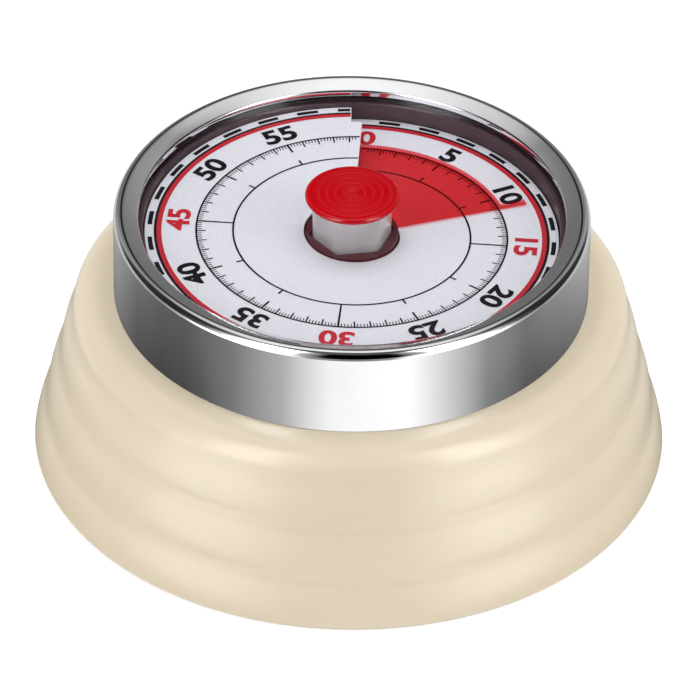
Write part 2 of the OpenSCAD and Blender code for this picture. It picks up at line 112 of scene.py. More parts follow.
class Shader:
    """A material's node tree, with short calls for the nodes that the finishes share."""

    def __init__(self, name: str) -> None:
        """Starts a material with one Principled shader.

        Args:
            name: The material's name.
        """
        self.material = bpy.data.materials.new(name)
        self.material.use_nodes = True
        self.tree = self.material.node_tree
        self.surface = self.tree.nodes["Principled BSDF"]
        self.output = self.tree.nodes["Material Output"]

    def feed(self, target: Socket, source: object) -> None:
        """Links a source socket, or sets a plain value, on a target socket.

        Args:
            target: The input socket.
            source: An output socket or a value.
        """
        if isinstance(source, bpy.types.NodeSocket):
            self.tree.links.new(source, target)
        else:
            target.default_value = source

    def add(self, kind: str, inputs: dict[str | int, object], **values: object) -> bpy.types.Node:
        """Adds a node.

        Args:
            kind: Blender's type name of the node.
            inputs: Sources or values, by the names or numbers of its sockets.
            **values: Node properties by name.

        Returns:
            The new node.
        """
        node = self.tree.nodes.new(kind)
        for name, value in values.items():
            setattr(node, name, value)
        for key, source in inputs.items():
            self.feed(node.inputs[key], source)
        return node

    def place(self) -> Socket:
        """The point on the object, in metres."""
        return self.add("ShaderNodeTexCoord", {}).outputs["Object"]

    def axis(self, name: str) -> Socket:
        """One axis, X, Y or Z, of the point on the object."""
        return self.add("ShaderNodeSeparateXYZ", {0: self.place()}).outputs[name]

    def joined(self, **axes: Socket) -> Socket:
        """A vector of values under X, Y or Z."""
        return self.add("ShaderNodeCombineXYZ", axes).outputs[0]

    def length(self, vector: Socket) -> Socket:
        """The length of a vector."""
        node = self.add("ShaderNodeVectorMath", {0: vector}, operation="LENGTH")
        return node.outputs["Value"]

    def along(self, way: Point) -> Socket:
        """How far the point on the object lies along a direction, times that vector's length."""
        sockets = {0: self.place(), 1: way}
        return self.add("ShaderNodeVectorMath", sockets, operation="DOT_PRODUCT").outputs["Value"]

    def polar(self) -> Socket:
        """Distance from the axis, nothing and height, so that lines run round the piece."""
        away = self.length(self.joined(X=self.axis("X"), Y=self.axis("Y")))
        return self.joined(X=away, Z=self.axis("Z"))

    def stretched(self, scale: Point) -> Socket:
        """Object coordinates times a factor along each axis."""
        sockets = {"Vector": self.place(), "Scale": scale}
        return self.add("ShaderNodeMapping", sockets).outputs[0]

    def noise(self, size: float, detail: float, vector: Socket | None = None) -> Socket:
        """Noise of 0 to 1 by patch size and layers, on the object's own or other coordinates."""
        sockets = {"Vector": vector or self.place(), "Scale": 1 / (size * MM), "Detail": detail}
        return self.add("ShaderNodeTexNoise", sockets).outputs["Fac"]

    def math(self, operation: str, *sources: object) -> Socket:
        """A sum of one to three values, by Blender's name of the operation."""
        return self.add("ShaderNodeMath", dict(enumerate(sources)), operation=operation).outputs[0]

    def remap(self, value: Socket, low: float, high: float, into: Pair = (0.0, 1.0)) -> Socket:
        """Maps a range onto another, level beyond both its ends.

        Args:
            value: What it reads.
            low: The lower end.
            high: The upper end.
            into: The results at the lower and the upper end.

        Returns:
            The mapped value.
        """
        limits = {"From Min": low, "From Max": high, "To Min": into[0], "To Max": into[1]}
        return self.add("ShaderNodeMapRange", {"Value": value, **limits}).outputs["Result"]

    def span(self, noise: Socket, into: Pair) -> Socket:
        """Maps the middle of a noise, where most of it lies, onto a range."""
        return self.remap(noise, 0.3, 0.7, into)

    def ramp(self, value: Socket, stops: list[tuple[float, Rgba]]) -> Socket:
        """A colour ramp.

        Args:
            value: What it reads.
            stops: Each stop's place and colour.

        Returns:
            The colour.
        """
        node = self.add("ShaderNodeValToRGB", {"Fac": value})
        elements = node.color_ramp.elements
        elements.remove(elements[1])
        elements[0].position, elements[0].color = stops[0]
        for at, colour in stops[1:]:
            elements.new(at).color = colour
        return node.outputs["Color"]

    def tones(self, noise: Socket, shade: Rgba, tone: Rgba, ends: Pair = (0.3, 0.7)) -> Socket:
        """Two tones that pass into each other between two ends of a noise."""
        return self.ramp(noise, [(ends[0], shade), (ends[1], tone)])

    def fan(self, greys: Greys, ways: tuple[int, ...]) -> Socket:
        """Greys round the axis, both ends of the ramp alike so that no edge shows where it closes.

        Args:
            greys: Each stop's angle from the camera and its grey.
            ways: The ways round, one of them or both, that the angles are set out.

        Returns:
            The colour.
        """
        turned = self.add("ShaderNodeTexGradient", {0: self.place()}, gradient_type="RADIAL")
        stops = {(0.25 + way * turn / 360) % 1.0: level for turn, level in greys for way in ways}
        stops[1.0] = stops[0.0]
        return self.ramp(turned.outputs["Fac"], [(at, grey(stops[at])) for at in sorted(stops)])

    def mixed(self, factor: object, low: object, high: object, how: str = "MIX") -> Socket:
        """A mix of two colours, by the second one's share and Blender's name of the way."""
        node = self.add("ShaderNodeMix", {"Factor": factor, "A": low, "B": high},
                        data_type="RGBA", blend_type=how)
        return node.outputs["Result"]

    def bump(self, height: Socket, depth: float, strength: float,
             under: Socket | None = None) -> Socket:
        """A bump.

        Args:
            height: What it reads.
            depth: Its depth in millimetres.
            strength: How strong it is, from 0 to 1.
            under: A normal that it adds to.

        Returns:
            The normal.
        """
        sockets = {"Height": height, "Distance": depth * MM, "Strength": strength}
        if under is not None:
            sockets["Normal"] = under
        return self.add("ShaderNodeBump", sockets).outputs["Normal"]

    def paint(self, **sockets: object) -> Material:
        """Sets the Principled shader's sockets.

        Args:
            **sockets: Socket names with underscores for spaces, and their values or sources.

        Returns:
            The material.
        """
        for name, source in sockets.items():
            self.feed(self.surface.inputs[name.replace("_", " ")], source)
        return self.material

    def clear(self, tint: Rgba) -> Socket:
        """A surface that lets light straight through and tints it."""
        return self.add("ShaderNodeBsdfTransparent", {"Color": tint}).outputs[0]

    def glow(self, **sockets: object) -> Socket:
        """A surface that gives light, by its Color or Strength."""
        return self.add("ShaderNodeEmission", sockets).outputs[0]

    def finish(self, surface: Socket) -> Material:
        """Makes a surface the material's own in place of the Principled shader."""
        self.feed(self.output.inputs["Surface"], surface)
        return self.material

    def layered(self, share: object, under: Socket, over: Socket) -> Material:
        """Makes a mix of two surfaces the material's own, by the second one's share."""
        sockets = {0: share, 1: under, 2: over}
        return self.finish(self.add("ShaderNodeMixShader", sockets).outputs[0])


@dataclass(frozen=True)
class MouldedFinish:
    """Moulded or enamelled plastic: two close tones, a fine skin and a gloss that varies."""

    name: str
    tone: Rgba
    shade: Rgba
    rough: Pair = (0.25, 0.35)
    skin: float = 0.5
    skin_depth: float = 0.004
    gloss: float = 0.5

    def build(self) -> Material:
        """Makes the finish.

        Returns:
            The material.
        """
        shader = Shader(self.name)
        cloud = shader.noise(size=14.0, detail=4.0)
        patches = shader.noise(size=3.0, detail=4.0)
        swell = shader.bump(shader.noise(size=5.0, detail=1.0), depth=0.02, strength=0.25)
        skin = shader.noise(self.skin, detail=2.0)
        return shader.paint(
            Base_Color=shader.tones(cloud, self.shade, self.tone, ends=(0.3, 0.65)),
            Roughness=shader.span(patches, self.rough),
            Normal=shader.bump(skin, self.skin_depth, strength=0.35, under=swell),
            Specular_IOR_Level=self.gloss,
        )


@dataclass(frozen=True)
class EnamelFinish:
    """The cream shell: glossy, with painted shade along its grooves and its neck painted dark as
    shade under the bezel's lip.
    """

    name: str
    tone: Rgba
    # The groove colour: painted shade, a touch darker than the tone.
    shade: Rgba
    # The neck's colour: painted shade, dark maroon, for the gap under the bezel's lip.
    neck_shade: Rgba
    grooves: tuple[float, ...]
    groove_shade_half: float
    neck: Pair
    top: float

    def build(self) -> Material:
        """Makes the finish.

        Returns:
            The material.
        """
        shader = Shader(self.name)
        stops = [(0.0, self.tone)]
        # Each groove gets a thin line of painted shade at its middle.
        for groove in self.grooves:
            at = groove / self.top
            stops += [(at - self.groove_shade_half, self.tone), (at, self.shade),
                      (at + self.groove_shade_half, self.tone)]
        # Above the shoulder the cream fades into the neck's painted shade.
        stops += [(self.neck[0] / self.top, self.tone), (self.neck[1] / self.top, self.neck_shade)]
        rings = shader.ramp(shader.remap(shader.axis("Z"), 0.0, self.top * MM), stops)
        cloud = shader.noise(size=18.0, detail=4.0)
        faint = shader.tones(cloud, shade=(0.955, 0.95, 0.94, 1), tone=grey(1.0))
        patches = shader.noise(size=9.0, detail=2.0)
        swell = shader.bump(shader.noise(size=11.0, detail=1.0), depth=0.03, strength=0.15)
        peel = shader.noise(size=0.9, detail=2.0)
        return shader.paint(
            Base_Color=shader.mixed(1.0, rings, faint, "MULTIPLY"),
            Roughness=shader.span(patches, into=(0.3, 0.36)),
            Normal=shader.bump(peel, depth=0.002, strength=0.12, under=swell),
            Coat_Weight=0.4,
            Coat_Roughness=0.1,
            Subsurface_Weight=0.05,
            Subsurface_Scale=0.002,
        )


@dataclass(frozen=True)
class MetalFinish:
    """Metal with turning lines round the axis or a fine grain, and faint stains."""

    name: str
    tone: Rgba
    stain: Rgba
    rough: Pair = (0.2, 0.35)
    lines: float = 0.12
    turned: bool = True
    depth: float = 0.002

    def build(self) -> Material:
        """Makes the finish.

        Returns:
            The material.
        """
        shader = Shader(self.name)
        where = shader.polar() if self.turned else shader.stretched((1.0, 0.06, 1.0))
        grain = shader.noise(self.lines, detail=3.0, vector=where)
        cloud = shader.noise(size=6.0, detail=5.0)
        return shader.paint(
            Base_Color=shader.tones(cloud, self.stain, self.tone, ends=(0.32, 0.6)),
            Metallic=1.0,
            Roughness=shader.span(grain, self.rough),
            Normal=shader.bump(grain, self.depth, strength=0.3),
        )


@dataclass(frozen=True)
class PrintFinish:
    """Printing ink or printed sheet: a matt tone with paper grain."""

    name: str
    tone: Rgba
    shade: Rgba
    grain: float = 0.25
    rough: Pair = (0.45, 0.6)
    gloss: float = 0.5

    def build(self) -> Material:
        """Makes the finish.

        Returns:
            The material.
        """
        shader = Shader(self.name)
        grain = shader.noise(self.grain, detail=3.0)
        patches = shader.noise(size=1.5, detail=3.0)
        fibre = shader.noise(size=0.12, detail=2.0)
        return shader.paint(
            Base_Color=shader.tones(grain, self.shade, self.tone, ends=(0.3, 0.6)),
            Roughness=shader.span(patches, self.rough),
            Normal=shader.bump(fibre, depth=0.002, strength=0.3),
            Specular_IOR_Level=self.gloss,
        )


@dataclass(frozen=True)
class FilmFinish:
    """The red film: it colours the light that passes, so that the dial's marks show through it."""

    name: str
    tone: Rgba
    shade: Rgba
    tint: Rgba
    cover: float

    def build(self) -> Material:
        """Makes the finish.

        Returns:
            The material.
        """
        shader = Shader(self.name)
        cloud = shader.noise(size=7.0, detail=4.0)
        patches = shader.noise(size=2.0, detail=4.0)
        swell = shader.noise(size=3.0, detail=2.0)
        shader.paint(
            Base_Color=shader.tones(cloud, self.shade, self.tone),
            Roughness=shader.span(patches, into=(0.25, 0.4)),
            Normal=shader.bump(swell, depth=0.02, strength=0.2),
        )
        return shader.layered(self.cover, shader.clear(self.tint), shader.surface.outputs[0])


@dataclass(frozen=True)
class ClearFinish:
    """Clear acrylic sheet: light passes straight through, with a thin gloss and wipe marks."""

    name: str
    tint: Rgba
    gloss: float

    def build(self) -> Material:
        """Makes the finish.

        Returns:
            The material.
        """
        shader = Shader(self.name)
        wipes = shader.noise(size=6.0, detail=5.0, vector=shader.stretched((1.0, 0.35, 1.0)))
        swell = shader.noise(size=12.0, detail=1.0)
        shader.paint(
            Base_Color=(0.9, 0.92, 0.95, 1),
            Metallic=1.0,
            Roughness=shader.span(wipes, into=(0.02, 0.14)),
            Normal=shader.bump(swell, depth=0.01, strength=0.15),
        )
        return shader.layered(self.gloss, shader.clear(self.tint), shader.surface.outputs[0])


@dataclass(frozen=True)
class AcrylicFinish:
    """A moulded acrylic block: milky, half clear, with flow lines and a little haze."""

    name: str
    tone: Rgba
    shade: Rgba
    rough: Pair
    clear: float

    def build(self) -> Material:
        """Makes the finish.

        Returns:
            The material.
        """
        shader = Shader(self.name)
        flow = shader.noise(size=1.6, detail=3.0, vector=shader.stretched((1.0, 1.0, 0.25)))
        return shader.paint(
            Base_Color=shader.tones(flow, self.shade, self.tone),
            Roughness=shader.span(flow, self.rough),
            Normal=shader.bump(flow, depth=0.02, strength=0.25),
            Transmission_Weight=self.clear,
            Coat_Weight=0.5,
            Coat_Roughness=0.05,
            IOR=1.49,
        )


class Outline:
    """A section drawn in the plane of the axis, by distance from the axis and height."""

    ROOM = 1.6  # A corner is rounded if both its lines are this many widths long.

    def __init__(self, away: float, height: float) -> None:
        """Starts the section.

        Args:
            away: Distance of its first point from the axis.
            height: Height of its first point.
        """
        self.mesh = bmesh.new()
        self.first = self.mesh.verts.new((away * MM, 0, height * MM))
        self.tip = self.first

    def line(self, *points: Pair) -> "Outline":
        """Draws straight lines.

        Args:
            *points: Distance from the axis and height of the end of each.

        Returns:
            The outline itself.
        """
        for away, height in points:
            self.tip = bmesh.ops.extrude_vert_indiv(self.mesh, verts=[self.tip])["verts"][0]
            self.tip.co = (away * MM, 0, height * MM)
        return self

    def swing(self, away: float, height: float, turn: float, steps: int) -> "Outline":
        """Draws an arc round a centre.

        Args:
            away: Distance of the centre from the axis.
            height: Height of the centre.
            turn: Angle of the arc, anticlockwise with the axis on the left.
            steps: Number of pieces.

        Returns:
            The outline itself.
        """
        spun = bmesh.ops.spin(self.mesh, geom=[self.tip], cent=(away * MM, 0, height * MM),
                              axis=(0, -1, 0), dvec=(0, 0, 0), angle=math.radians(turn),
                              steps=steps)
        self.tip = verts_of(spun["geom_last"])[0]
        return self

    def bulge(self, away: float, height: float, rise: float, steps: int) -> "Outline":
        """Draws an arc to a point, bulged to the right of its direction of travel.

        Args:
            away: Distance of its end from the axis.
            height: Height of its end.
            rise: How far its middle stands off the straight line, less than nothing for a hollow.
            steps: Number of pieces.

        Returns:
            The outline itself.
        """
        here = Vector((self.tip.co.x / MM, self.tip.co.z / MM))
        there = Vector((away, height))
        chord = there - here
        way = 1 if rise > 0 else -1
        left = Vector((-chord.y, chord.x)).normalized() * way
        size = abs(rise)
        radius = chord.length ** 2 / (8 * size) + size / 2
        centre = (here + there) / 2 + left * (radius - size)
        turn = math.degrees(2 * math.asin(min(1.0, chord.length / (2 * radius)))) * way
        self.swing(centre.x, centre.y, turn, steps)
        self.tip.co = (away * MM, 0, height * MM)
        return self

    def soften(self, width: float, segments: int = 2, least: float = 12.0) -> "Outline":
        """Rounds every corner sharper than an angle.

        Args:
            width: How far back from the corner the rounding starts.
            segments: Number of pieces in it.
            least: The least turn that counts as a corner.

        Returns:
            The outline itself.
        """
        corners = []
        for vert in self.mesh.verts:
            if len(vert.link_edges) == 2:
                one, two = ((edge.other_vert(vert).co - vert.co) for edge in vert.link_edges)
                turn = 180 - math.degrees(one.angle(two))
                if turn > least and min(one.length, two.length) > self.ROOM * width * MM:
                    corners.append(vert)
        bmesh.ops.bevel(self.mesh, geom=corners, offset=width * MM, offset_type="OFFSET",
                        segments=segments, profile=0.5, affect="VERTICES", material=-1)
        return self

    def close(self) -> "Outline":
        """Joins the last point to the first."""
        self.mesh.edges.new((self.tip, self.first))
        return self

    def turned(self, steps: int) -> BMesh:
        """Turns the section round the axis.

        Args:
            steps: Number of facets round it.

        Returns:
            The turned mesh, its faces pointing outwards.
        """
        bmesh.ops.spin(self.mesh, geom=self.mesh.verts[:] + self.mesh.edges[:], cent=(0, 0, 0),
                       axis=(0, 0, 1), dvec=(0, 0, 0), angle=math.tau, steps=steps, use_merge=True)
        bmesh.ops.remove_doubles(self.mesh, verts=self.mesh.verts[:], dist=1e-7)
        bmesh.ops.recalc_face_normals(self.mesh, faces=self.mesh.faces[:])
        return self.mesh


def tube(inner: float, outer: float, low: float, top: float) -> Outline:
    """The closed section of a plain tube."""
    return Outline(inner, low).line((outer, low), (outer, top), (inner, top)).close()


def verts_of(geom: list) -> list[bmesh.types.BMVert]:
    """The vertices among geometry."""
    return [g for g in geom if isinstance(g, bmesh.types.BMVert)]


def turn_verts(mesh: BMesh, verts: list[bmesh.types.BMVert], turn: float) -> None:
    """Turns vertices anticlockwise round the axis."""
    matrix = Matrix.Rotation(math.radians(turn), 3, "Z")
    bmesh.ops.rotate(mesh, verts=verts, cent=(0, 0, 0), matrix=matrix)


def hexagon(mesh: BMesh, radius: float, turn: float, low: float, capped: bool) -> None:
    """Adds a flat hexagon.

    Args:
        mesh: The mesh that it goes into.
        radius: The distance of its corners from the axis.
        turn: The angle of the middle of one side.
        low: Its height.
        capped: Whether it has a face.
    """
    verts = bmesh.ops.create_circle(mesh, cap_ends=capped, segments=6, radius=radius * MM)["verts"]
    turn_verts(mesh, verts, turn - 30)
    bmesh.ops.translate(mesh, verts=verts, vec=(0, 0, low * MM))


def draw_up(mesh: BMesh, rise: float) -> None:
    """Draws flat faces up into a solid.

    Args:
        mesh: The faces.
        rise: The solid's height.
    """
    grown = bmesh.ops.extrude_face_region(mesh, geom=mesh.faces[:])
    bmesh.ops.translate(mesh, verts=verts_of(grown["geom"]), vec=(0, 0, rise * MM))
    bmesh.ops.recalc_face_normals(mesh, faces=mesh.faces[:])


def round_edges(mesh: BMesh, edges: list[bmesh.types.BMEdge], width: float, segments: int) -> None:
    """Rounds edges, from a width back from each, with a number of pieces."""
    bmesh.ops.bevel(mesh, geom=edges, offset=width * MM, offset_type="OFFSET", segments=segments,
                    profile=0.5, affect="EDGES", material=-1)


def add_object(mesh: BMesh, name: str, finish: Material) -> bpy.types.Object:
    """Makes an object of a bmesh.

    Args:
        mesh: The shape, which is freed.
        name: The object's name.
        finish: Its material.

    Returns:
        The object.
    """
    data = bpy.data.meshes.new(name)
    mesh.to_mesh(data)
    mesh.free()
    data.materials.append(finish)
    made = bpy.data.objects.new(name, data)
    bpy.context.scene.collection.objects.link(made)
    return made


@dataclass(frozen=True)
class Bend:
    """A second body for a springy piece's far end, and the stretch between; nothing here reads
    them.
    """

    body: Body
    start: Vector
    end: Vector


def make_piece(mesh: BMesh, name: str, body: Body, finish: Material,
               replaces: tuple[str, ...] = (), sharp: float = 38.0,
               bend: Bend | None = None) -> bpy.types.Object:
    """Makes a finished object of a bmesh and puts it on its body; with a bend, it only fixes the
    object where it stands.

    Args:
        mesh: The shape, which is freed.
        name: The piece's name.
        body: The body that it moves with.
        finish: Its material.
        replaces: CAD nodes that it stands for.
        sharp: Edges that turn more than this stay sharp.
        bend: The second body, for a piece between two; such a piece is fixed where it stands, on no
            body.

    Returns:
        The object.
    """
    piece = add_object(mesh, name, finish)
    faces = piece.data.polygons
    faces.foreach_set("use_smooth", [True] * len(faces))
    piece.data.set_sharp_from_angle(angle=math.radians(sharp))
    if bend:
        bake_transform(piece)
    else:
        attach(piece, body.value)
    if replaces:
        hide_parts(*replaces)
    LOG.info("%s rides on %s, %d faces", name, body.value, len(faces))
    return piece


def dress(nodes: tuple[str, ...], finish: Material) -> None:
    """Gives CAD nodes a finish.

    Args:
        nodes: Their names.
        finish: The material.
    """
    for name in nodes:
        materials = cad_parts[name].data.materials
        materials.clear()
        materials.append(finish)
        LOG.info("%s dressed in %s", name, finish.name)


@dataclass(frozen=True)
class Posts:
    """Bored posts inside the shell, alike and equally far from the axis."""

    name: str
    low: float
    top: float
    bore: float
    radius: float
    away: float
    turns: tuple[float, ...]

    def shape(self) -> BMesh:
        """The posts in one mesh.

        Returns:
            The mesh.
        """
        mesh = tube(self.bore, self.radius, self.low, self.top).turned(steps=24)
        bmesh.ops.translate(mesh, verts=mesh.verts[:], vec=(self.away * MM, 0, 0))
        source = mesh.verts[:] + mesh.edges[:] + mesh.faces[:]
        for turn in self.turns:
            turn_verts(mesh, verts_of(bmesh.ops.duplicate(mesh, geom=source)["geom"]), turn)
        bmesh.ops.delete(mesh, geom=verts_of(source), context="VERTS")
        return mesh


@dataclass
class Shell:
    """The cream housing with its three bulged bands, the neck inside the bezel, and its posts."""

    foot_r: float = 35.15
    height: float = 20.2
    lean: float = 0.26
    rim: float = 0.4
    grooves: tuple[float, ...] = (5.2, 11.2, 16.6)
    crest: float = 0.09
    hollow: float = 0.06
    hollow_half: float = 1.15
    shoulder_in: float = 27.2
    shoulder_rise: float = 0.78
    deck: float = 1.8
    wall: float = 1.9
    wall_heights: tuple[float, ...] = (15.6, 2.6, 0)
    neck_r: float = 25.4
    neck_in: float = 23.8
    neck_top: float = 28.9
    neck_fade: Pair = (0.6, 1.2)
    posts: tuple[Posts, ...] = (
        Posts("shell_bosses", low=2.6, top=9.0, bore=1.05, radius=2.4, away=28.0,
              turns=(30, 150, 270)),
        Posts("shell_lugs", low=19.3, top=23.4, bore=0.8, radius=2.0, away=20.8,
              turns=(75, 195, 315)),
    )

    def side(self, height: float) -> float:
        """The straight side's distance from the axis at a height."""
        return self.foot_r - self.lean * (height - self.rim)

    def outline(self) -> Outline:
        """The section of the shell, outside first.

        Returns:
            The closed section.
        """
        section = Outline(self.foot_r - self.rim / 2, 0).line((self.side(self.rim), self.rim))
        for groove in self.grooves:
            below, above = groove - self.hollow_half, groove + self.hollow_half
            section.bulge(self.side(below) + self.hollow, below, self.crest, steps=10)
            section.bulge(self.side(above) + self.hollow, above, -self.hollow, steps=8)
        section.bulge(self.shoulder_in, self.height, self.shoulder_rise, steps=14)
        section.line((self.neck_r, self.height), (self.neck_r, self.neck_top))
        under = self.height - self.deck
        section.line((self.neck_in, self.neck_top), (self.neck_in, under))
        section.line((self.shoulder_in, under))
        section.line(*((self.side(height) - self.wall, height) for height in self.wall_heights))
        return section.close()

    def build(self) -> None:
        """Makes the shell."""
        # The shell's enamel paints shade along the two lower grooves.
        finish = EnamelFinish(
            "cream_enamel", from_srgb(232, 217, 191), from_srgb(229, 213, 186),
            # The neck inside the bezel is painted dark as shade under its lip.
            neck_shade=from_srgb(58, 44, 48), grooves=self.grooves[:2], groove_shade_half=0.02,
            neck=(self.height + self.neck_fade[0], self.height + self.neck_fade[1]),
            top=self.neck_top,
        ).build()
        mesh = self.outline().soften(width=0.1, least=40.0).turned(steps=192)
        shell = make_piece(mesh, "shell_body", Body.CASE, finish, ("base_shell",),
                           sharp=32.0)
        shell.visible_glossy = False
        for posts in self.posts:
            make_piece(posts.shape(), posts.name, Body.CASE, finish)


@dataclass
class Bezel:
    """The polished steel drum, its rolled edge, dished lip and inner bead, and the lens below."""

    radius: float = 26.2
    inner: float = 25.5
    bottom: float = 20.2
    hem: float = 0.22
    top: float = 30.75
    lip_in: float = 23.45
    lip_z: float = 29.5
    lip_top: float = 30.18
    roll: float = 0.9
    bead: float = 0.25
    lens_r: float = 25.4
    lens_hole: float = 5.45
    lens_z: float = 28.9

    def outline(self) -> Outline:
        """The section of the drum, from its inner foot round its outside.

        Returns:
            The closed section.
        """
        section = Outline(self.inner, self.bottom).line((self.radius - self.hem, self.bottom))
        outer = (self.radius - self.roll, self.top - self.roll)
        edge = (self.lip_in + self.bead, self.lip_top - self.bead)
        across, rise = outer[0] - edge[0], edge[1] - outer[1]
        reach = math.acos((self.roll - self.bead) / math.hypot(across, rise))
        lean = math.pi - math.atan2(rise, across) - reach
        section.line((self.radius, self.bottom + self.hem), (self.radius, outer[1]))
        section.swing(*outer, math.degrees(lean), steps=14)
        section.line((edge[0] + self.bead * math.cos(lean), edge[1] + self.bead * math.sin(lean)))
        section.swing(*edge, 180 - math.degrees(lean), steps=10)
        return section.line((self.lip_in, self.lip_z), (self.inner, self.lip_z)).close()

    def build(self) -> None:
        """Makes the drum and the lens."""
        steel = MetalFinish("bezel_steel", (0.84, 0.84, 0.85, 1), (0.81, 0.81, 0.83, 1),
                            rough=(0.05, 0.09), lines=0.09, depth=0.0004).build()
        make_piece(self.outline().turned(steps=224), "bezel_drum", Body.CASE, steel,
                   ("bezel",), sharp=40.0)
        clear = ClearFinish("lens_acrylic", tint=(0.985, 0.985, 0.99, 1), gloss=0.02).build()
        pane = tube(self.lens_hole, self.lens_r, self.lens_z, self.lip_z).soften(width=0.12)
        make_piece(pane.turned(steps=160), "lens_pane", Body.CASE, clear, ("lens",),
                   sharp=40.0)


@dataclass
class SpiralSheet:
    """The dial's spiral: clockwise angles from zero, rising by one pitch for each turn."""

    base: float = 26.8
    pitch: float = 1.6
    step: float = 2.0

    def height(self, angle: float) -> float:
        """Height of the dial's face at a clockwise angle."""
        return self.base + self.pitch * angle / 360

    def sweep(self, mesh: BMesh, geom: list, start: float, end: float) -> list:
        """Sweeps geometry clockwise along the spiral.

        Args:
            mesh: The mesh that it is in.
            geom: Vertices and edges at the start angle.
            start: The clockwise start angle.
            end: The clockwise end angle.

        Returns:
            The geometry at the end angle.
        """
        steps = max(1, round((end - start) / self.step))
        rise = self.pitch * (end - start) / 360 / steps
        spun = bmesh.ops.spin(mesh, geom=geom, cent=(0, 0, 0), axis=(0, 0, -1),
                              dvec=(0, 0, rise * MM), angle=math.radians(end - start), steps=steps)
        return spun["geom_last"]

    def radial(self, mesh: BMesh, angle: float, radii: list[float], lift: float) -> list:
        """A radial line of points on the spiral.

        Args:
            mesh: The mesh that it goes into.
            angle: Its clockwise angle.
            radii: The points' distances from the axis.
            lift: Their height above the dial.

        Returns:
            Its vertices and edges.
        """
        across, along = math.sin(math.radians(angle)) * MM, math.cos(math.radians(angle)) * MM
        height = (self.height(angle) + lift) * MM
        verts = [mesh.verts.new((radius * across, radius * along, height)) for radius in radii]
        return verts + [mesh.edges.new(pair) for pair in zip(verts, verts[1:])]

    def face_up(self, mesh: BMesh) -> None:
        """Turns every face of an open sheet upwards."""
        mesh.normal_update()
        bmesh.ops.reverse_faces(mesh, faces=[f for f in mesh.faces if f.normal.z < 0])

    def thicken(self, mesh: BMesh, thickness: float) -> None:
        """Turns an open sheet's faces upwards and gives it its thickness, downwards.

        Args:
            mesh: The sheet.
            thickness: Its thickness.
        """
        self.face_up(mesh)
        bmesh.ops.solidify(mesh, geom=mesh.faces[:], thickness=thickness * MM)
        bmesh.ops.recalc_face_normals(mesh, faces=mesh.faces[:])


